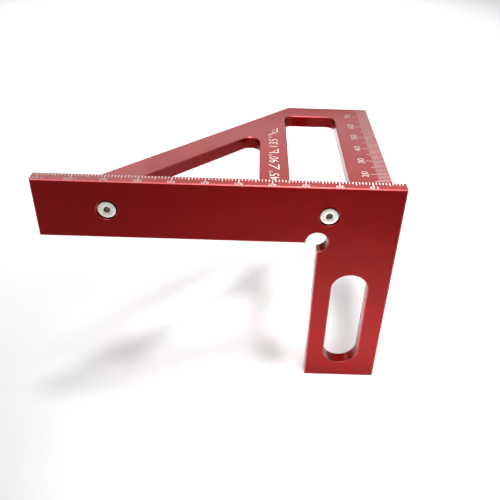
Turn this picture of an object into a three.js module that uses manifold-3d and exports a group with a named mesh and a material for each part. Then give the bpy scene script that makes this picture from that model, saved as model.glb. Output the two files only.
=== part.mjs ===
// A three-way layout square in millimetres, +Z up: a horizontal blade screwed to the back of an
// L-shaped fence, so that the blade lies on a board while the fence hooks over the board's edge.
//
// Every piece is drawn from the zero corner, where the fence's inner face (y = 0), the blade's
// underside (z = 0) and the right-hand ends of both plates (x = 0) meet. The group at the end
// moves the whole square so that its origin is on the blade's underside, in the middle of the
// front rail.

import * as THREE from "three";
import { mergeVertices } from "three/addons/utils/BufferGeometryUtils.js";
import Module from "manifold-3d";

const wasm = await Module();
wasm.setup();

// Both plates are cut from the same stock, with a small 45 degree chamfer round every edge.
const PLATE = 4.5;
const EDGE_BREAK = 0.3;

// Fence: a long bar with a leg hanging from its zero end.
const FENCE_LENGTH = 112;
const BAR_HEIGHT = 19.8;
const LEG_WIDTH = 25;
const FENCE_REACH = 77.4;
const RELIEF_RADIUS = 3.55;
const RELIEF_OFFSET = 0.3;
const SLOT_LENGTH = 39;
const SLOT_WIDTH = 12;
const SLOT_FROM_END = 13;
const SLOT_BELOW_TOP = 51.5;

// Blade: a trapezium with square right-hand corners and a 45 degree left-hand edge.
const BLADE_DEPTH = 78;
const BLADE_FAR_WIDTH = 32.2;
const FRONT_RAIL = 9;
const FAR_RAIL = 9.3;
const SCALE_LIMB = 14.2;
const SCALE_WINDOW = 19.6;
const STRUT = 10;
const DIAGONAL_LIMB = 10.3;
const WINDOW_FILLET = 3;
const TRIANGLE_FILLET = 3.4;

// The blade is level with the middle of the bar.
const FENCE_TOP = (PLATE + BAR_HEIGHT) / 2;
const BLADE_BASE = BLADE_FAR_WIDTH + BLADE_DEPTH;

// M3 x 10 countersunk socket screws, through the fence into tapped holes in the blade's edge.
const SCREW_FROM_RIGHT = 22.3;
const SCREW_FROM_LEFT = 22;
const SINK_RADIUS = 3.25;
const CLEARANCE_RADIUS = 1.6;
const HEAD_RADIUS = 2.78;
const HEAD_CONE_RADIUS = 3;
const HEAD_BELOW_FACE = SINK_RADIUS - HEAD_CONE_RADIUS;
const HEAD_PLAY = 0.02;
const SCREW_LENGTH = 10;
const SOCKET_ACROSS_FLATS = 2;
const SOCKET_DEPTH = 1.2;
const THREAD_RADIUS = 1.48;
const POINT_CHAMFER = 0.4;
const TAPPED_RADIUS = 1.55;
const TAPPED_DEPTH = 7.4;

const ROUND_SEGMENTS = 48;
const ARC_SEGMENTS = 12;
const CUTTER_MARGIN = 1;

// Turns an outline drawn in x and y, extruded along +z, into a plate standing in x and z that
// grows towards -y, and points a +z axis at -y. Its entries are whole numbers, so it is exact.
const STAND_UP = new THREE.Matrix4().set(
  1, 0, 0, 0,
  0, 0, -1, 0,
  0, 1, 0, 0,
  0, 0, 0, 1,
);

function toSolid(geometry) {
  const bare = geometry.clone();
  bare.deleteAttribute("normal");
  bare.deleteAttribute("uv");
  const merged = mergeVertices(bare, 1e-5);
  const mesh = new wasm.Mesh({
    numProp: 3,
    vertProperties: new Float32Array(merged.attributes.position.array),
    triVerts: new Uint32Array(merged.index.array),
  });
  return new wasm.Manifold(mesh);
}

function toGeometry(solid) {
  const mesh = solid.getMesh();
  const geometry = new THREE.BufferGeometry();
  geometry.setAttribute("position", new THREE.BufferAttribute(mesh.vertProperties, 3));
  geometry.setIndex(new THREE.BufferAttribute(mesh.triVerts, 1));
  geometry.computeVertexNormals();
  return geometry;
}

// A plate of the stock's thickness with a chamfer round both faces and every opening.
function chamferedPlate(outline) {
  const geometry = new THREE.ExtrudeGeometry(outline, {
    depth: PLATE - 2 * EDGE_BREAK,
    bevelThickness: EDGE_BREAK,
    bevelSize: EDGE_BREAK,
    bevelOffset: -EDGE_BREAK,
    bevelSegments: 1,
    curveSegments: ARC_SEGMENTS,
  });
  return geometry.translate(0, 0, EDGE_BREAK);
}

// A closed outline through the corners given, each rounded by its own fillet radius.
function filletedOutline(corners, radius, PathClass) {
  const path = new PathClass();
  const count = corners.length;
  corners.forEach((corner, i) => {
    const toPrevious = corners[(i + count - 1) % count].clone().sub(corner).normalize();
    const toNext = corners[(i + 1) % count].clone().sub(corner).normalize();
    const halfAngle = Math.acos(toPrevious.dot(toNext)) / 2;
    const tangent = radius / Math.tan(halfAngle);
    const start = corner.clone().addScaledVector(toPrevious, tangent);
    const end = corner.clone().addScaledVector(toNext, tangent);
    const inward = toPrevious.clone().add(toNext).normalize();
    const centre = corner.clone().addScaledVector(inward, radius / Math.sin(halfAngle));
    const from = start.clone().sub(centre).angle();
    const to = end.clone().sub(centre).angle();
    const clockwise = toPrevious.cross(toNext) > 0;
    if (i === 0) path.moveTo(start.x, start.y);
    else path.lineTo(start.x, start.y);
    path.absarc(centre.x, centre.y, radius, from, to, clockwise);
  });
  path.closePath();
  return path;
}

function slotOutline(centreX, centreY) {
  const radius = SLOT_WIDTH / 2;
  const straight = (SLOT_LENGTH - SLOT_WIDTH) / 2;
  const slot = new THREE.Path();
  slot.moveTo(centreX + radius, centreY + straight);
  slot.absarc(centreX, centreY + straight, radius, 0, Math.PI, false);
  slot.lineTo(centreX - radius, centreY - straight);
  slot.absarc(centreX, centreY - straight, radius, Math.PI, 2 * Math.PI, false);
  slot.closePath();
  return slot;
}

// The L of the fence. The round relief in its inner corner is centred a little outside the
// corner, so its arc ends a little past a quarter turn on both sides.
function fenceOutline() {
  const top = FENCE_TOP;
  const barBottom = top - BAR_HEIGHT;
  const legBottom = top - FENCE_REACH;
  const reliefX = -LEG_WIDTH - RELIEF_OFFSET;
  const reliefY = barBottom + RELIEF_OFFSET;
  const tilt = Math.asin(RELIEF_OFFSET / RELIEF_RADIUS);
  const outline = new THREE.Shape();
  outline.moveTo(0, top);
  outline.lineTo(-FENCE_LENGTH, top);
  outline.lineTo(-FENCE_LENGTH, barBottom);
  outline.lineTo(reliefX - RELIEF_RADIUS * Math.cos(tilt), barBottom);
  outline.absarc(reliefX, reliefY, RELIEF_RADIUS, Math.PI + tilt, tilt - Math.PI / 2, true);
  outline.lineTo(-LEG_WIDTH, legBottom);
  outline.lineTo(0, legBottom);
  outline.closePath();
  outline.holes.push(slotOutline(-SLOT_FROM_END, top - SLOT_BELOW_TOP));
  return outline;
}

function bladeOutline() {
  const outline = new THREE.Shape();
  outline.moveTo(0, 0);
  outline.lineTo(0, BLADE_DEPTH);
  outline.lineTo(-BLADE_FAR_WIDTH, BLADE_DEPTH);
  outline.lineTo(-BLADE_BASE, 0);
  outline.closePath();
  outline.holes.push(scaleWindow(), triangleWindow());
  return outline;
}

// The rectangular window between the scale's limb and the strut.
function scaleWindow() {
  const right = -SCALE_LIMB;
  const left = right - SCALE_WINDOW;
  const corners = [
    new THREE.Vector2(right, FRONT_RAIL),
    new THREE.Vector2(right, BLADE_DEPTH - FAR_RAIL),
    new THREE.Vector2(left, BLADE_DEPTH - FAR_RAIL),
    new THREE.Vector2(left, FRONT_RAIL),
  ];
  return filletedOutline(corners, WINDOW_FILLET, THREE.Path);
}

// The triangular window between the strut and the 45 degree limb.
function triangleWindow() {
  const right = -SCALE_LIMB - SCALE_WINDOW - STRUT;
  const diagonalAt = BLADE_BASE - DIAGONAL_LIMB * Math.SQRT2;
  const corners = [
    new THREE.Vector2(right, FRONT_RAIL),
    new THREE.Vector2(right, right + diagonalAt),
    new THREE.Vector2(FRONT_RAIL - diagonalAt, FRONT_RAIL),
  ];
  return filletedOutline(corners, TRIANGLE_FILLET, THREE.Path);
}

// A turned solid about +z, from points of (radius, height) that start and end on the axis.
function turned(profile) {
  const points = profile.map(([radius, height]) => new THREE.Vector2(radius, height));
  return new THREE.LatheGeometry(points, ROUND_SEGMENTS).rotateX(Math.PI / 2);
}

// Where a screw's head plane meets its axis: x from the right-hand end, at the blade's mid height.
function screwPlaces() {
  return {
    screw_left: SCREW_FROM_LEFT - FENCE_LENGTH,
    screw_right: -SCREW_FROM_RIGHT,
  };
}

function placeOnScrewAxis(geometry, x, y) {
  return geometry.clone().applyMatrix4(STAND_UP).translate(x, y, PLATE / 2);
}

// Countersink and clearance hole, with z = 0 at the fence's front face.
function countersinkCutter() {
  const sinkDepth = SINK_RADIUS - CLEARANCE_RADIUS;
  return turned([
    [0, -PLATE - CUTTER_MARGIN],
    [CLEARANCE_RADIUS, -PLATE - CUTTER_MARGIN],
    [CLEARANCE_RADIUS, -sinkDepth],
    [SINK_RADIUS + CUTTER_MARGIN, CUTTER_MARGIN],
    [0, CUTTER_MARGIN],
  ]);
}

// Tapped hole at its major diameter with a drill point, with z = 0 at the blade's front edge.
function tappedHoleCutter() {
  return turned([
    [0, -TAPPED_DEPTH],
    [TAPPED_RADIUS, -TAPPED_DEPTH + TAPPED_RADIUS / 2],
    [TAPPED_RADIUS, CUTTER_MARGIN],
    [0, CUTTER_MARGIN],
  ]);
}

function fence() {
  const plate = chamferedPlate(fenceOutline()).applyMatrix4(STAND_UP);
  const cutter = countersinkCutter();
  let solid = toSolid(plate);
  for (const x of Object.values(screwPlaces())) {
    solid = solid.subtract(toSolid(placeOnScrewAxis(cutter, x, -PLATE)));
  }
  return toGeometry(solid);
}

function blade() {
  const cutter = tappedHoleCutter();
  let solid = toSolid(chamferedPlate(bladeOutline()));
  for (const x of Object.values(screwPlaces())) {
    solid = solid.subtract(toSolid(placeOnScrewAxis(cutter, x, 0)));
  }
  return toGeometry(solid);
}

// The screw about +z, with its head's flat top at z = 0 and a blind hexagon socket. The thread
// is drawn as a plain shank at its crest diameter.
function screw() {
  const rim = HEAD_CONE_RADIUS - HEAD_RADIUS;
  const body = toSolid(turned([
    [0, -SCREW_LENGTH],
    [THREAD_RADIUS - POINT_CHAMFER, -SCREW_LENGTH],
    [THREAD_RADIUS, -SCREW_LENGTH + POINT_CHAMFER],
    [THREAD_RADIUS, THREAD_RADIUS - HEAD_CONE_RADIUS],
    [HEAD_RADIUS, -rim],
    [HEAD_RADIUS, 0],
    [0, 0],
  ]));
  const socketRadius = SOCKET_ACROSS_FLATS / Math.sqrt(3);
  const socket = new THREE.CylinderGeometry(
    socketRadius, socketRadius, SOCKET_DEPTH + CUTTER_MARGIN, 6,
  );
  socket.rotateX(Math.PI / 2);
  socket.translate(0, 0, (CUTTER_MARGIN - SOCKET_DEPTH) / 2);
  return toGeometry(body.subtract(toSolid(socket)));
}

const anodised = new THREE.MeshStandardMaterial({
  color: 0xa01418, roughness: 0.42, metalness: 0.9,
});
const anodisedBlade = anodised.clone();
anodisedBlade.color.set(0xb4303a);
const stainless = new THREE.MeshStandardMaterial({
  color: 0xd9d9d2, roughness: 0.28, metalness: 1,
});

function named(name, geometry, material) {
  const mesh = new THREE.Mesh(geometry, material);
  mesh.name = name;
  return mesh;
}

const square = new THREE.Group();
square.add(named("fence", fence(), anodised));
square.add(named("blade", blade(), anodisedBlade));
const screwGeometry = screw();
const headY = -PLATE + HEAD_BELOW_FACE - HEAD_PLAY;
for (const [name, x] of Object.entries(screwPlaces())) {
  square.add(named(name, placeOnScrewAxis(screwGeometry, x, headY), stainless));
}
square.position.set(FENCE_LENGTH / 2, -FRONT_RAIL / 2, 0);

const layoutSquare = new THREE.Group();
layoutSquare.add(square);

export default layoutSquare;
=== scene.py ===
from collections import namedtuple
import math

import bmesh
import bpy
from mathutils import Matrix, Vector


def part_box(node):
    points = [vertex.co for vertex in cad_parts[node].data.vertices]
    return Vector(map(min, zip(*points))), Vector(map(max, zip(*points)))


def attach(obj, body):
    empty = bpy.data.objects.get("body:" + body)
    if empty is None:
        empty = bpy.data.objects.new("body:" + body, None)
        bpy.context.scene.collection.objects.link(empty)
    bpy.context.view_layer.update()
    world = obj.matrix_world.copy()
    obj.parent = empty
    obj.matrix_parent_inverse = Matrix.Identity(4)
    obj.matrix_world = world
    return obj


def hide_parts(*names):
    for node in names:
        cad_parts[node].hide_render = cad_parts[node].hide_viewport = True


# The looks of a three-way layout square, in metres, in the CAD's frame: x runs along the fence to
# its zero end, y runs from the fence along the blade's scale, and z is up. The origin is on the
# blade's underside.

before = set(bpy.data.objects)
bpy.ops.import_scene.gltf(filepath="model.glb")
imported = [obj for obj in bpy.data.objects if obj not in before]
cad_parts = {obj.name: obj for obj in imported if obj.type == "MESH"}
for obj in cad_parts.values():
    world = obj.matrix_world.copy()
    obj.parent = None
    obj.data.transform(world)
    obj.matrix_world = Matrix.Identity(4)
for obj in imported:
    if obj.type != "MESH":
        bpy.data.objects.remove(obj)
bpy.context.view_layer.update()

MM = 0.001

# Plate edges: a 45 degree chamfer whose own corners are slightly rounded.
EDGE_BREAK = 0.3 * MM
EDGE_SOFTNESS = 0.1 * MM
EDGE_STEPS = 3

# Fence.
BAR_HEIGHT = 19.8 * MM
LEG_WIDTH = 25 * MM
RELIEF_RADIUS = 3.55 * MM
RELIEF_OFFSET = 0.3 * MM
SLOT_LENGTH = 39 * MM
SLOT_WIDTH = 12 * MM
SLOT_FROM_END = 13 * MM
SLOT_BELOW_TOP = 51.5 * MM

# Blade.
BLADE_FAR_WIDTH = 32.2 * MM
FRONT_RAIL = 9 * MM
FAR_RAIL = 9.3 * MM
SCALE_LIMB = 14.2 * MM
SCALE_WINDOW = 19.6 * MM
STRUT = 10 * MM
DIAGONAL_LIMB = 10.3 * MM
WINDOW_FILLET = 3 * MM
TRIANGLE_FILLET = 3.4 * MM

# M3 countersunk screws, their sinks in the fence and their tapped holes in the blade.
SINK_RADIUS = 3.25 * MM
SINK_LIP = 0.09 * MM
SINK_GROOVE = 0.9 * MM
SEAT_RADIUS = 2.1 * MM
CLEARANCE_RADIUS = 1.6 * MM
TAPPED_RADIUS = 1.55 * MM
TAPPED_DEPTH = 7.4 * MM
HEAD_CONE_RADIUS = 3 * MM
HEAD_SOFTNESS = 0.07 * MM
SOCKET_APOTHEM = 1 * MM
SOCKET_DEPTH = 1.2 * MM
SOCKET_CONE = 0.35 * MM
SOCKET_LEAD_IN = 0.1 * MM
SOCKET_CORNER_RADIUS = SOCKET_APOTHEM / math.cos(math.pi / 6)
CREST_RADIUS = 1.48 * MM
ROOT_RADIUS = 1.19 * MM
THREAD_PITCH = 0.5 * MM
ROWS_PER_TURN = 10
POINT_CHAMFER = 0.4 * MM
DRILL_OVERSHOOT = 1 * MM

# Steps round a full circle, along a large arc and along a small one.
ROUND_SEGMENTS = 48
ARC_STEPS = 24
SMALL_ARC_STEPS = 12

# An edge that turns by more than this, in degrees, is crisp.
CRISP_ANGLE = 35

# Places in a piece's list of materials: a plate has a face and an edge finish, and a screw has a
# face and a socket finish.
FACE_FINISH = 0
# The edge finish is a paler red: a painted highlight along the chamfers.
EDGE_HIGHLIGHT_FINISH = 1
# The socket finish is darker: painted shade deep in the socket.
SOCKET_SHADE_FINISH = 1

# Laser marks: skins a hundredth of a millimetre proud of the plate and rooted in it.
MARK_PROUD = 0.01 * MM
MARK_DEPTH = 0.05 * MM
MERGE_DISTANCE = 0.001 * MM
LABEL_CURVE_STEPS = 4

# A scale has a tick length for every one, five and ten millimetres. A digit's size is its width
# and height, and its weight fattens or thins its strokes, in the font's own units.
ScaleStyle = namedtuple("ScaleStyle", "ticks tick_width digit_size digit_from_edge digit_weight")
FENCE_SCALE = ScaleStyle(
    ticks=(1.6 * MM, 2.1 * MM, 2.8 * MM),
    tick_width=0.34 * MM,
    digit_size=(1.25 * MM, 1.35 * MM),
    digit_from_edge=3.5 * MM,
    digit_weight=0.012,
)
BLADE_SCALE = ScaleStyle(
    ticks=(4.5 * MM, 5.7 * MM, 6.9 * MM),
    tick_width=0.17 * MM,
    digit_size=(2 * MM, 2.3 * MM),
    digit_from_edge=8.4 * MM,
    digit_weight=-0.006,
)

# Strut legend: the three angles that the square sets out, each with its symbol.
LEGEND_ANGLES = (45, 90, 135)
LEGEND_START = 14 * MM
LEGEND_END = 54 * MM
LEGEND_FROM_EDGE = 38.9 * MM
LEGEND_HEIGHT = 3.4 * MM
LEGEND_DIGIT_WIDTH = 2.2 * MM
LEGEND_GAP = 1.2 * MM
LEGEND_LINE = 0.42 * MM
LEGEND_WEIGHT = -0.004
SYMBOL_WIDTH = 4.6 * MM
SYMBOL_ARC = 1.9 * MM
SYMBOL_ARM = 1.8 * SYMBOL_ARC

# Colours, linear, from the darker to the lighter end of each finish.
DEEP_RED = ((0.285, 0.0012, 0.002), (0.32, 0.0018, 0.003))
# The paler red of the edges is a painted highlight along the chamfers.
EDGE_HIGHLIGHT_RED = ((0.42, 0.08, 0.085), (0.5, 0.12, 0.125))
TURNED_STEEL = ((0.8, 0.79, 0.74), (0.88, 0.87, 0.82))
# The socket steel is darkened as painted shade deep in the socket.
SOCKET_SHADE_STEEL = ((0.4, 0.36, 0.29), (0.52, 0.47, 0.39))
FLOOR_WHITE = ((0.86, 0.86, 0.86), (0.88, 0.88, 0.88))
BURNT_MARK = ((0, 0, 0), (0.66, 0.63, 0.62))

# How near each set of marks comes to the lighter end, as a share of the way, and how unevenly.
# The fence's marks are held duller as painted shade, offsetting the lamps that light the fence top
# from above; the legend's bolder marks are burnt nearer to white.
FENCE_BURN_AND_SHADE = 0.72
BLADE_BURN = 0.76
LEGEND_BURN = 0.93
BURN_SPREAD = 0.06

# The refractive index of the clear oxide over the dye.
OXIDE_IOR = 1.4

# Noise: how rough its detail is, and the two values that it mostly lies between.
NOISE_ROUGHNESS = 0.55
NOISE_LOW = 0.3
NOISE_HIGH = 0.7

# Studio, in metres, degrees and watts, but with the lens and the sensor in millimetres. The
# camera looks along +y from in front of the fence.
FLOOR_HALF = 3
CAMERA_PLACE = Vector((10.19, -163.86, 96.45)) * MM
CAMERA_TURN = 0.12
CAMERA_LOOK_DOWN = 34.71
CAMERA_ROLL = 1.67
CAMERA_LENS = 42.95
CAMERA_NEAREST = 0.01
CAMERA_FARTHEST = 20
SENSOR_WIDTH = 36
SKY_STRENGTH = 0.4

# Softboxes: name, place, target, size and power. Those behind give the blade its sheen.
SOFTBOXES = (
    ("back", (-0.05, 0.505, 0.285), (0, 0.05, 0), (0.55, 0.19), 0.29),
    ("back_left", (-0.25, 0.4, 0.25), (-0.05, 0, 0), (0.3, 0.25), 0.08),
    ("front_high", (-0.07, -0.24, 0.36), (-0.02, -0.01, 0.01), (0.4, 0.12), 0.3),
)

# Pools of light on the floor, which the fence mirrors: name, lamp's place, spread and power.
POOL_LAMP_RADIUS = 0.05
POOLS = (
    ("pool_near", (0.055, -0.01, 0.25), 38, 2.3),
    ("pool_front", (0.055, -0.04, 0.25), 36, 2.2),
    ("pool_wide", (0, 0.1, 0.6), 46, 3.9),
    ("pool_back", (0, 0.45, 0.8), 60, 16.6),
)

FENCE_LOW, FENCE_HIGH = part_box("fence")
BLADE_LOW, BLADE_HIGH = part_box("blade")
PLATE = BLADE_HIGH.z - BLADE_LOW.z
RIGHT = FENCE_HIGH.x
INNER_FACE = FENCE_HIGH.y

# A plate is drawn in (u, v) and grows along w. The fence stands up, and the blade lies flat.
STANDING = Matrix((
    (1, 0, 0, 0),
    (0, 0, -1, INNER_FACE),
    (0, 1, 0, 0),
    (0, 0, 0, 1),
))
LYING = Matrix.Translation((0, 0, BLADE_LOW.z))

# Marks are drawn flat, in (right, up) of the reader, from a scale's zero corner. The fence's are
# read from behind the square, and the blade's from its right-hand side.
FENCE_ZERO = Matrix.Translation((RIGHT, INNER_FACE, FENCE_HIGH.z + MARK_PROUD))
BLADE_ZERO = Matrix.Translation((RIGHT, BLADE_LOW.y, BLADE_HIGH.z + MARK_PROUD))
READ_FROM_BEHIND = FENCE_ZERO @ Matrix.Rotation(math.pi, 4, "Z")
READ_FROM_RIGHT = BLADE_ZERO @ Matrix.Rotation(math.pi / 2, 4, "Z")


# ---- Outlines ----

def flat(u, v):
    return Vector((u, v))


def arc(centre, radius, start, end, steps=ARC_STEPS):
    """Points along an arc from one angle to another in degrees, both ends included."""
    angles = [math.radians(start + (end - start) * i / steps) for i in range(steps + 1)]
    return [centre + radius * flat(math.cos(a), math.sin(a)) for a in angles]


def rounded(before, corner, after, radius, steps):
    """Points of the arc that rounds a corner between two straight edges."""
    to_before = (before - corner).normalized()
    to_after = (after - corner).normalized()
    half_angle = to_before.angle(to_after) / 2
    inward = (to_before + to_after).normalized()
    centre = corner + inward * radius / math.sin(half_angle)
    spoke = corner + to_before * radius / math.tan(half_angle) - centre
    sweep = math.pi - 2 * half_angle
    if to_before.x * to_after.y > to_before.y * to_after.x:
        sweep = -sweep
    return [centre + Matrix.Rotation(sweep * i / steps, 2) @ spoke for i in range(steps + 1)]


def filleted(corners, radius):
    """A closed outline with every corner rounded."""
    count = len(corners)
    outline = []
    for i, corner in enumerate(corners):
        outline += rounded(corners[i - 1], corner, corners[(i + 1) % count], radius, SMALL_ARC_STEPS)
    return outline


def mitred(before, here, after, distance):
    """A corner moved to the left of the two edges that meet at it."""
    arriving = (here - before).normalized()
    leaving = (after - here).normalized()
    left = flat(-arriving.y, arriving.x)
    mitre = (left + flat(-leaving.y, leaving.x)).normalized()
    return here + mitre * distance / mitre.dot(left)


def inset(outline, distance):
    """The closed outline moved to its left, with mitred corners."""
    corners = zip(outline[-1:] + outline[:-1], outline, outline[1:] + outline[:1])
    return [mitred(*corner, distance) for corner in corners]


def inset_line(points, distance):
    """An open line moved to its left, with mitred corners and square ends."""
    before_first = 2 * points[0] - points[1]
    past_last = 2 * points[-1] - points[-2]
    corners = zip([before_first] + points[:-1], points, points[1:] + [past_last])
    return [mitred(*corner, distance) for corner in corners]


def fence_outline():
    """The L of the fence in x and z, anticlockwise, with the relief at its inner corner.

    The relief's centre is a little outside the corner."""
    bar_bottom = FENCE_HIGH.z - BAR_HEIGHT
    inner_corner = flat(RIGHT - LEG_WIDTH, bar_bottom)
    relief = inner_corner + flat(-RELIEF_OFFSET, RELIEF_OFFSET)
    tilt = math.degrees(math.asin(RELIEF_OFFSET / RELIEF_RADIUS))
    return [
        flat(RIGHT, FENCE_HIGH.z),
        flat(FENCE_LOW.x, FENCE_HIGH.z),
        flat(FENCE_LOW.x, bar_bottom),
        *arc(relief, RELIEF_RADIUS, 180 + tilt, tilt - 90),
        flat(inner_corner.x, FENCE_LOW.z),
        flat(RIGHT, FENCE_LOW.z),
    ]


def slot_outline():
    centre = flat(RIGHT - SLOT_FROM_END, FENCE_HIGH.z - SLOT_BELOW_TOP)
    reach = flat(0, (SLOT_LENGTH - SLOT_WIDTH) / 2)
    top = arc(centre + reach, SLOT_WIDTH / 2, 0, 180)
    bottom = arc(centre - reach, SLOT_WIDTH / 2, 180, 360)
    return top + bottom


def blade_outline():
    return [
        flat(RIGHT, BLADE_LOW.y),
        flat(RIGHT, BLADE_HIGH.y),
        flat(RIGHT - BLADE_FAR_WIDTH, BLADE_HIGH.y),
        flat(BLADE_LOW.x, BLADE_LOW.y),
    ]


def scale_window_outline():
    right = RIGHT - SCALE_LIMB
    left = right - SCALE_WINDOW
    near = BLADE_LOW.y + FRONT_RAIL
    far = BLADE_HIGH.y - FAR_RAIL
    corners = [flat(right, near), flat(right, far), flat(left, far), flat(left, near)]
    return filleted(corners, WINDOW_FILLET)


def triangle_window_outline():
    right = RIGHT - SCALE_LIMB - SCALE_WINDOW - STRUT
    near = BLADE_LOW.y + FRONT_RAIL
    left = BLADE_LOW.x + FRONT_RAIL + DIAGONAL_LIMB * math.sqrt(2)
    corners = [flat(right, near), flat(right, near + right - left), flat(left, near)]
    return filleted(corners, TRIANGLE_FILLET)


# ---- Meshes ----

def chamfered_edge():
    """(inset, height) down a plate's edge from its front face to its back."""
    corners = [
        flat(2 * EDGE_BREAK, PLATE),
        flat(EDGE_BREAK, PLATE),
        flat(0, PLATE - EDGE_BREAK),
        flat(0, EDGE_BREAK),
        flat(EDGE_BREAK, 0),
        flat(2 * EDGE_BREAK, 0),
    ]
    profile = []
    for before, corner, after in zip(corners, corners[1:], corners[2:]):
        profile += rounded(before, corner, after, EDGE_SOFTNESS, EDGE_STEPS)
    return profile


def edge_rings(outline):
    """The rings of points down a chamfered edge that follows the outline, material on its left."""
    rings = []
    for inward, height in chamfered_edge():
        rings.append([Vector((*point, height)) for point in inset(outline, inward)])
    return rings


def hole_rings(centre, profile):
    """The rings of a turned hole, from its (radius, height) profile, clockwise."""
    rings = []
    for radius, height in profile:
        circle = arc(centre, radius, 360, 0, ROUND_SEGMENTS)[:-1]
        rings.append([Vector((*point, height)) for point in circle])
    return rings


def add_rings(bm, rings):
    return [[bm.verts.new(point) for point in ring] for ring in rings]


def bridge(bm, upper, lower, finish=FACE_FINISH):
    """Quads between two rings. finish picks one of the piece's materials."""
    count = len(upper)
    for i in range(count):
        following = (i + 1) % count
        face = bm.faces.new((upper[i], lower[i], lower[following], upper[following]))
        face.material_index = finish


def close_to_point(bm, ring, point, finish=FACE_FINISH):
    """Triangles from a ring to a point."""
    tip = bm.verts.new(point)
    for i in range(len(ring)):
        face = bm.faces.new((ring[i - 1], ring[i], tip))
        face.material_index = finish


def edges_round(bm, ring):
    return [bm.edges.get((ring[i - 1], ring[i])) for i in range(len(ring))]


def add_piece(name, bm, materials, placement=None):
    """A new object from the bmesh, with smooth rounds and crisp flats."""
    bmesh.ops.recalc_face_normals(bm, faces=bm.faces)
    if placement is not None:
        bmesh.ops.transform(bm, matrix=placement, verts=bm.verts)
    mesh = bpy.data.meshes.new(name)
    bm.to_mesh(mesh)
    bm.free()
    mesh.shade_smooth()
    mesh.set_sharp_from_angle(angle=math.radians(CRISP_ANGLE))
    for material in materials:
        mesh.materials.append(material)
    piece = bpy.data.objects.new(name, mesh)
    bpy.context.scene.collection.objects.link(piece)
    return piece


def weigh_normals(piece):
    weighted = piece.modifiers.new("weighted_normals", "WEIGHTED_NORMAL")
    weighted.keep_sharp = True


def plate(name, stacks, placement, finishes):
    """A plate from the ring stacks of its outline and openings, front face to back.

    A step shorter than the chamfer belongs to the broken edge."""
    bm = bmesh.new()
    front_edges = []
    back_edges = []
    for rings in stacks:
        rows = add_rings(bm, rings)
        drops = [upper[0].z - lower[0].z for upper, lower in zip(rings, rings[1:])]
        for upper, lower, drop in zip(rows, rows[1:], drops):
            # Chamfer faces take the edge finish, whose paler red is a painted highlight.
            bridge(bm, upper, lower, EDGE_HIGHLIGHT_FINISH if drop < EDGE_BREAK else FACE_FINISH)
        front_edges += edges_round(bm, rows[0])
        back_edges += edges_round(bm, rows[-1])
    bmesh.ops.triangle_fill(bm, edges=front_edges, use_beauty=True)
    bmesh.ops.triangle_fill(bm, edges=back_edges, use_beauty=True)
    return add_piece(name, bm, finishes, placement)


def screw_axes():
    """Each screw's axis, in x and z, and the y of its head's face."""
    axes = {}
    for name in ("screw_left", "screw_right"):
        low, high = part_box(name)
        axes[name] = ((low.x + high.x) / 2, (low.z + high.z) / 2, low.y)
    return axes


def sink_profile():
    """(radius, height) of a countersink and its clearance hole, from the front face to the back.

    Round the head's rim it is a narrow groove, and below that the head's cone sits in it."""
    return [
        (SINK_RADIUS + SINK_LIP, PLATE),
        (SINK_RADIUS, PLATE - SINK_LIP),
        (SINK_RADIUS, PLATE - SINK_GROOVE),
        (SEAT_RADIUS, PLATE - (SINK_RADIUS - SEAT_RADIUS)),
        (CLEARANCE_RADIUS, PLATE - (SINK_RADIUS - CLEARANCE_RADIUS)),
        (CLEARANCE_RADIUS, 0),
    ]


def make_fence(finishes):
    stacks = [edge_rings(fence_outline()), edge_rings(slot_outline()[::-1])]
    for x, z, _ in screw_axes().values():
        stacks.append(hole_rings(flat(x, z), sink_profile()))
    piece = plate("fence_plate", stacks, STANDING, finishes)
    weigh_normals(piece)
    return piece


def make_drill():
    """The tapped holes' shape: cylinders with drill points, to be cut from the blade's front edge."""
    bm = bmesh.new()
    profile = [
        (TAPPED_RADIUS, DRILL_OVERSHOOT),
        (TAPPED_RADIUS, TAPPED_RADIUS / 2 - TAPPED_DEPTH),
    ]
    for x, z, _ in screw_axes().values():
        mouth, bottom = add_rings(bm, hole_rings(flat(x, z), profile))
        bm.faces.new(mouth)
        bridge(bm, mouth, bottom)
        close_to_point(bm, bottom, (x, z, -TAPPED_DEPTH))
    return add_piece("drill", bm, [], STANDING)


def make_blade(finishes):
    outlines = [
        blade_outline(),
        scale_window_outline()[::-1],
        triangle_window_outline()[::-1],
    ]
    piece = plate("blade_plate", [edge_rings(outline) for outline in outlines], LYING, finishes)
    drill = make_drill()
    cut = piece.modifiers.new("tapped_holes", "BOOLEAN")
    cut.operation = "DIFFERENCE"
    cut.solver = "EXACT"
    cut.object = drill
    evaluated = piece.evaluated_get(bpy.context.evaluated_depsgraph_get())
    drilled = bpy.data.meshes.new_from_object(evaluated)
    piece.modifiers.clear()
    piece.data = drilled
    bpy.data.objects.remove(drill)
    weigh_normals(piece)
    return piece


def turned_ring(radius_at, height):
    """A ring about the z axis, whose radius is a function of the angle."""
    ring = []
    for i in range(ROUND_SEGMENTS):
        angle = 2 * math.pi * i / ROUND_SEGMENTS
        radius = radius_at(angle)
        ring.append(Vector((radius * math.cos(angle), radius * math.sin(angle), height)))
    return ring


def circle_ring(radius, height):
    return turned_ring(lambda angle: radius, height)


def hexagon_ring(apothem, height):
    """A hexagon with corners at the top and bottom, as many points as a circle."""
    side = math.pi / 3

    def radius_at(angle):
        from_flat = (angle + side / 2) % side - side / 2
        return apothem / math.cos(from_flat)

    return turned_ring(radius_at, height)


def thread_ring(height, depth_share):
    """One ring of a screw thread. The radius swings once between root and crest in a turn."""
    depth = (CREST_RADIUS - ROOT_RADIUS) * depth_share
    crest_angle = 2 * math.pi * height / THREAD_PITCH

    def radius_at(angle):
        return ROOT_RADIUS + depth * (1 + math.cos(crest_angle - angle)) / 2

    return turned_ring(radius_at, height)


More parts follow.
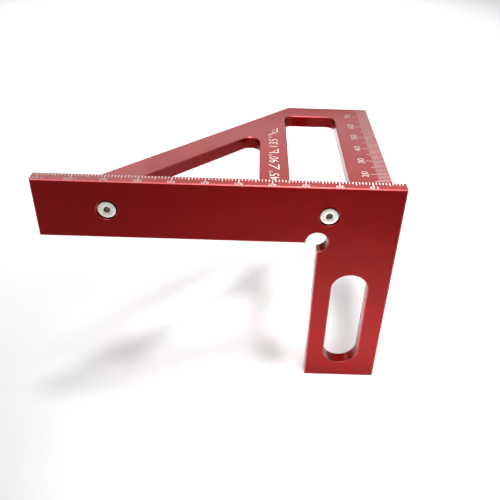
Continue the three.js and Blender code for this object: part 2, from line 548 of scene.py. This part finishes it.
def head_rings(head_radius):
    """Rings up the socket from its floor, over the head's face at height 0 and down its rim."""
    rim = HEAD_CONE_RADIUS - head_radius
    return [
        hexagon_ring(SOCKET_APOTHEM, -SOCKET_DEPTH),
        hexagon_ring(SOCKET_APOTHEM, -SOCKET_LEAD_IN),
        circle_ring(SOCKET_CORNER_RADIUS + SOCKET_LEAD_IN / 2, 0),
        circle_ring((SOCKET_APOTHEM + head_radius) / 2, 0),
        circle_ring(head_radius - HEAD_SOFTNESS, 0),
        circle_ring(head_radius - HEAD_SOFTNESS / 3, -HEAD_SOFTNESS / 3),
        circle_ring(head_radius, -HEAD_SOFTNESS),
        circle_ring(head_radius, -rim),
    ]


def shank_rings(length):
    """Rings from under the head along the thread to the point. The thread fades in and out."""
    neck = ROOT_RADIUS - HEAD_CONE_RADIUS
    last = -length + POINT_CHAMFER
    rows = round((neck - last) / THREAD_PITCH * ROWS_PER_TURN)
    rings = []
    for row in range(rows + 1):
        height = neck + (last - neck) * row / rows
        share = min(1, row / ROWS_PER_TURN, (rows - row) / ROWS_PER_TURN)
        rings.append(thread_ring(height, share))
    rings.append(circle_ring(ROOT_RADIUS - POINT_CHAMFER, -length))
    return rings


def make_screw(node, finishes):
    """An M3 countersunk screw with a blind hexagon socket, about its own z axis."""
    low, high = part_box(node)
    head_radius = (high.x - low.x) / 2
    length = high.y - low.y
    bm = bmesh.new()
    rows = add_rings(bm, head_rings(head_radius) + shank_rings(length))
    # The socket takes the darker finish, which paints the shade inside it.
    close_to_point(bm, rows[0], (0, 0, -SOCKET_DEPTH - SOCKET_CONE), SOCKET_SHADE_FINISH)
    bridge(bm, rows[0], rows[1], SOCKET_SHADE_FINISH)
    for upper, lower in zip(rows[1:], rows[2:]):
        bridge(bm, upper, lower)
    close_to_point(bm, rows[-1], (0, 0, -length))
    piece = add_piece(node + "_m3", bm, finishes)
    weigh_normals(piece)
    x, z, face_y = screw_axes()[node]
    turned = STANDING.to_3x3().to_4x4()
    piece.matrix_world = Matrix.Translation((x, face_y, z)) @ turned
    return piece


# ---- Laser marks ----

def add_rectangle(bm, low, high):
    corners = [(low[0], low[1]), (high[0], low[1]), (high[0], high[1]), (low[0], high[1])]
    bm.faces.new([bm.verts.new((*corner, 0)) for corner in corners])


def add_tick(bm, along, reach, width):
    add_rectangle(bm, (along - width / 2, EDGE_BREAK), (along + width / 2, reach))


def add_stroke(bm, points, width):
    """A line of even width through the points, with mitred corners."""
    left = inset_line(points, width / 2)
    right = inset_line(points, -width / 2)
    rows = [[bm.verts.new((*point, 0)) for point in side] for side in (left, right)]
    for i in range(len(points) - 1):
        bm.faces.new((rows[1][i], rows[1][i + 1], rows[0][i + 1], rows[0][i]))


def add_label(bm, text, centre, size, weight):
    """Text stretched to fill a box of that size, about the centre."""
    curve = bpy.data.curves.new("label", "FONT")
    curve.body = text
    curve.resolution_u = LABEL_CURVE_STEPS
    curve.offset = weight
    writer = bpy.data.objects.new("label", curve)
    mesh = bpy.data.meshes.new_from_object(writer)
    low = Vector([min(v.co[axis] for v in mesh.vertices) for axis in range(3)])
    high = Vector([max(v.co[axis] for v in mesh.vertices) for axis in range(3)])
    middle = (low + high) / 2
    scale = Matrix.Diagonal((size[0] / (high.x - low.x), size[1] / (high.y - low.y), 1, 1))
    mesh.transform(Matrix.Translation((*centre, 0)) @ scale @ Matrix.Translation(-middle))
    bm.from_mesh(mesh)
    bpy.data.objects.remove(writer)
    bpy.data.curves.remove(curve)
    bpy.data.meshes.remove(mesh)


def lay_marks(name, bm, placement, material):
    """The flat marks become thin closed skins rooted in the face they lie on."""
    bmesh.ops.remove_doubles(bm, verts=bm.verts, dist=MERGE_DISTANCE)
    for face in bm.faces:
        if face.normal.z < 0:
            face.normal_flip()
    bmesh.ops.transform(bm, matrix=placement, verts=bm.verts)
    mesh = bpy.data.meshes.new(name)
    bm.to_mesh(mesh)
    bm.free()
    mesh.materials.append(material)
    piece = bpy.data.objects.new(name, mesh)
    bpy.context.scene.collection.objects.link(piece)
    skin = piece.modifiers.new("skin", "SOLIDIFY")
    skin.thickness = MARK_DEPTH
    skin.offset = -1
    return piece


def tick_length(value, lengths):
    every_one, every_five, every_ten = lengths
    if value % 10 == 0:
        return every_ten
    return every_five if value % 5 == 0 else every_one


def make_scale(name, length, style, placement, material):
    """A tick at every millimetre along an edge, and a number at every ten."""
    bm = bmesh.new()
    digit_width, digit_height = style.digit_size
    for value in range(1, round(length / MM)):
        along = value * MM
        add_tick(bm, along, tick_length(value, style.ticks), style.tick_width)
        if value % 10 == 0:
            size = (len(str(value)) * digit_width, digit_height)
            add_label(bm, str(value), (along, style.digit_from_edge), size, style.digit_weight)
    return lay_marks(name, bm, placement, material)


def make_fence_scale(material):
    length = FENCE_HIGH.x - FENCE_LOW.x
    return make_scale("fence_scale", length, FENCE_SCALE, READ_FROM_BEHIND, material)


def make_blade_scale(material):
    length = BLADE_HIGH.y - BLADE_LOW.y
    return make_scale("blade_scale", length, BLADE_SCALE, READ_FROM_RIGHT, material)


def add_angle_symbol(bm, vertex, angle):
    """Two arms that meet at the vertex, with an arc between them."""
    turn = math.radians(angle)
    slant = flat(math.cos(turn), math.sin(turn)) * LEGEND_HEIGHT / math.sin(turn)
    add_stroke(bm, [vertex + slant, vertex, vertex + flat(SYMBOL_ARM, 0)], LEGEND_LINE)
    margin = math.degrees(LEGEND_LINE / SYMBOL_ARC)
    curve = arc(vertex, SYMBOL_ARC, margin, angle - margin, SMALL_ARC_STEPS)
    add_stroke(bm, curve, LEGEND_LINE / 2)


def make_legend(material):
    """The legend along the strut, with what is left of its length shared between the angles."""
    bm = bmesh.new()
    along = LEGEND_START
    base = LEGEND_FROM_EDGE - LEGEND_HEIGHT / 2
    spare = LEGEND_END - LEGEND_START
    for angle in LEGEND_ANGLES:
        spare -= (len(str(angle)) + 1) * LEGEND_DIGIT_WIDTH + LEGEND_GAP + SYMBOL_WIDTH
    for angle in LEGEND_ANGLES:
        text = f"{angle}\N{DEGREE SIGN}"
        width = len(text) * LEGEND_DIGIT_WIDTH
        middle = (along + width / 2, base + LEGEND_HEIGHT / 2)
        add_label(bm, text, middle, (width, LEGEND_HEIGHT), LEGEND_WEIGHT)
        along += width + LEGEND_GAP
        lean_back = LEGEND_HEIGHT if angle > 90 else 0
        add_angle_symbol(bm, flat(along + lean_back, base), angle)
        along += SYMBOL_WIDTH + spare / (len(LEGEND_ANGLES) - 1)
    return lay_marks("strut_legend", bm, READ_FROM_RIGHT, material)


# ---- Materials ----

def noise(tree, scale, detail=4):
    """Noise in the object's own metres."""
    coordinates = tree.nodes.new("ShaderNodeTexCoord")
    texture = tree.nodes.new("ShaderNodeTexNoise")
    texture.inputs["Scale"].default_value = scale
    texture.inputs["Detail"].default_value = detail
    texture.inputs["Roughness"].default_value = NOISE_ROUGHNESS
    tree.links.new(coordinates.outputs["Object"], texture.inputs["Vector"])
    return texture.outputs["Fac"]


def remap(tree, value, low, high):
    """Noise stretched to run from low to high."""
    node = tree.nodes.new("ShaderNodeMapRange")
    node.inputs["From Min"].default_value = NOISE_LOW
    node.inputs["From Max"].default_value = NOISE_HIGH
    node.inputs["To Min"].default_value = low
    node.inputs["To Max"].default_value = high
    tree.links.new(value, node.inputs["Value"])
    return node.outputs["Result"]


def new_material(name, metallic=0):
    material = bpy.data.materials.new(name)
    material.use_nodes = True
    shader = material.node_tree.nodes["Principled BSDF"]
    shader.inputs["Metallic"].default_value = metallic
    return material, material.node_tree, shader


def paint(tree, shader, grain, colours, low=0, high=1):
    """Colour that varies with the grain. The lighter colour's share runs from low to high."""
    darker, lighter = colours
    node = tree.nodes.new("ShaderNodeMix")
    node.data_type = "RGBA"
    node.inputs["A"].default_value = (*darker, 1)
    node.inputs["B"].default_value = (*lighter, 1)
    tree.links.new(remap(tree, grain, low, high), node.inputs["Factor"])
    tree.links.new(node.outputs["Result"], shader.inputs["Base Color"])


def roughen(tree, shader, grain, low, high):
    """Roughness that varies with the grain, from low to high."""
    tree.links.new(remap(tree, grain, low, high), shader.inputs["Roughness"])


def emboss(tree, shader, height, distance, strength):
    """Fine relief that follows the height."""
    node = tree.nodes.new("ShaderNodeBump")
    node.inputs["Distance"].default_value = distance
    node.inputs["Strength"].default_value = strength
    tree.links.new(height, node.inputs["Height"])
    tree.links.new(node.outputs["Normal"], shader.inputs["Normal"])


def seal(shader, roughness):
    """The clear sealed oxide over dyed metal."""
    shader.inputs["Coat Weight"].default_value = 1
    shader.inputs["Coat Roughness"].default_value = roughness
    shader.inputs["Coat IOR"].default_value = OXIDE_IOR


def anodised_red():
    """Bead-blasted aluminium dyed deep red under a clear sealed oxide."""
    material, tree, shader = new_material("anodised_red", metallic=1)
    paint(tree, shader, noise(tree, 90), DEEP_RED)
    roughen(tree, shader, noise(tree, 260), 0.52, 0.56)
    emboss(tree, shader, noise(tree, 6500, detail=2), 0.004 * MM, 0.15)
    seal(shader, 0.12)
    return material


def anodised_edge():
    """The broken edges, painted a paler, uneven pink as a highlight along the chamfers."""
    material, tree, shader = new_material("anodised_edge", metallic=1)
    paint(tree, shader, noise(tree, 420, detail=6), EDGE_HIGHLIGHT_RED)
    roughen(tree, shader, noise(tree, 800), 0.3, 0.38)
    seal(shader, 0.15)
    return material


def laser_white(name, whiteness):
    """Marks bleached into the oxide: matt and slightly uneven. The higher the value, the nearer to
    white; for the fence's marks it is held lower as painted shade under the lamps above them.
    """
    material, tree, shader = new_material(name)
    grain = noise(tree, 2200)
    paint(tree, shader, grain, BURNT_MARK, whiteness - BURN_SPREAD, whiteness + BURN_SPREAD)
    roughen(tree, shader, noise(tree, 900), 0.5, 0.7)
    return material


def turned_steel():
    """Bright stainless steel with fine rings from turning, about the screw's axis."""
    material, tree, shader = new_material("turned_steel", metallic=1)
    paint(tree, shader, noise(tree, 1200), TURNED_STEEL)
    roughen(tree, shader, noise(tree, 1800), 0.24, 0.34)
    coordinates = tree.nodes.new("ShaderNodeTexCoord")
    rings = tree.nodes.new("ShaderNodeTexWave")
    rings.wave_type = "RINGS"
    rings.rings_direction = "Z"
    rings.inputs["Scale"].default_value = 2600
    rings.inputs["Distortion"].default_value = 0.4
    tree.links.new(coordinates.outputs["Object"], rings.inputs["Vector"])
    emboss(tree, shader, rings.outputs["Fac"], 0.003 * MM, 0.5)
    return material


def socket_steel():
    """The broached socket: rougher, and darkened as painted shade deep in its recess."""
    material, tree, shader = new_material("socket_steel", metallic=0.6)
    paint(tree, shader, noise(tree, 3000), SOCKET_SHADE_STEEL)
    roughen(tree, shader, noise(tree, 2500), 0.45, 0.65)
    return material


def floor_white():
    material, tree, shader = new_material("floor_white")
    paint(tree, shader, noise(tree, 30), FLOOR_WHITE)
    shader.inputs["Roughness"].default_value = 0.7
    return material


# ---- Studio ----

def make_camera():
    data = bpy.data.cameras.new("camera")
    data.lens = CAMERA_LENS
    data.sensor_width = SENSOR_WIDTH
    data.clip_start = CAMERA_NEAREST
    data.clip_end = CAMERA_FARTHEST
    camera = bpy.data.objects.new("camera", data)
    turn = Matrix.Rotation(math.radians(CAMERA_TURN), 4, "Z")
    tilt = Matrix.Rotation(math.radians(90 - CAMERA_LOOK_DOWN), 4, "X")
    roll = Matrix.Rotation(math.radians(CAMERA_ROLL), 4, "Z")
    camera.matrix_world = Matrix.Translation(CAMERA_PLACE) @ turn @ tilt @ roll
    bpy.context.scene.collection.objects.link(camera)
    bpy.context.scene.camera = camera


def make_floor(material):
    bm = bmesh.new()
    add_rectangle(bm, (-FLOOR_HALF, -FLOOR_HALF), (FLOOR_HALF, FLOOR_HALF))
    floor = add_piece("floor", bm, [material], Matrix.Translation((0, 0, FENCE_LOW.z)))


def aim(light, place, target):
    """Puts a light in its place, turned to its target and hidden from the camera."""
    light.location = place
    light.rotation_euler = (Vector(target) - Vector(place)).to_track_quat("-Z", "Y").to_euler()
    light.visible_camera = False
    bpy.context.scene.collection.objects.link(light)


def add_softbox(name, place, target, size, power):
    data = bpy.data.lights.new(name, "AREA")
    data.shape = "RECTANGLE"
    data.size, data.size_y = size
    data.energy = power
    aim(bpy.data.objects.new(name, data), place, target)


def add_pool(name, place, spread, power):
    """A lamp that looks straight down. Its pool of light on the floor fades out to its rim."""
    data = bpy.data.lights.new(name, "SPOT")
    data.spot_size = math.radians(spread)
    data.spot_blend = 1
    data.shadow_soft_size = POOL_LAMP_RADIUS
    data.energy = power
    aim(bpy.data.objects.new(name, data), place, (place[0], place[1], FENCE_LOW.z))


def make_world():
    world = bpy.data.worlds.new("studio")
    world.use_nodes = True
    bpy.context.scene.world = world
    background = world.node_tree.nodes["Background"]
    background.inputs["Color"].default_value = (1, 1, 1, 1)
    background.inputs["Strength"].default_value = SKY_STRENGTH


def light_studio():
    make_world()
    for softbox in SOFTBOXES:
        add_softbox(*softbox)
    for pool in POOLS:
        add_pool(*pool)
    scene = bpy.context.scene
    scene.view_settings.view_transform = "Standard"
    scene.view_settings.look = "High Contrast"


# ---- The square ----

def main():
    make_camera()
    light_studio()
    make_floor(floor_white())

    plate_finishes = [anodised_red(), anodised_edge()]
    screw_finishes = [turned_steel(), socket_steel()]

    plates = {"fence": make_fence(plate_finishes), "blade": make_blade(plate_finishes)}
    for node, piece in plates.items():
        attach(piece, "root")
        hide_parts(node)
    for node in screw_axes():
        piece = make_screw(node, screw_finishes)
        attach(piece, "root")
        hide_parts(node)
    marks = [
        make_fence_scale(laser_white("fence_marks", FENCE_BURN_AND_SHADE)),
        make_blade_scale(laser_white("blade_marks", BLADE_BURN)),
        make_legend(laser_white("legend_marks", LEGEND_BURN)),
    ]
    for piece in marks:
        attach(piece, "root")


main()
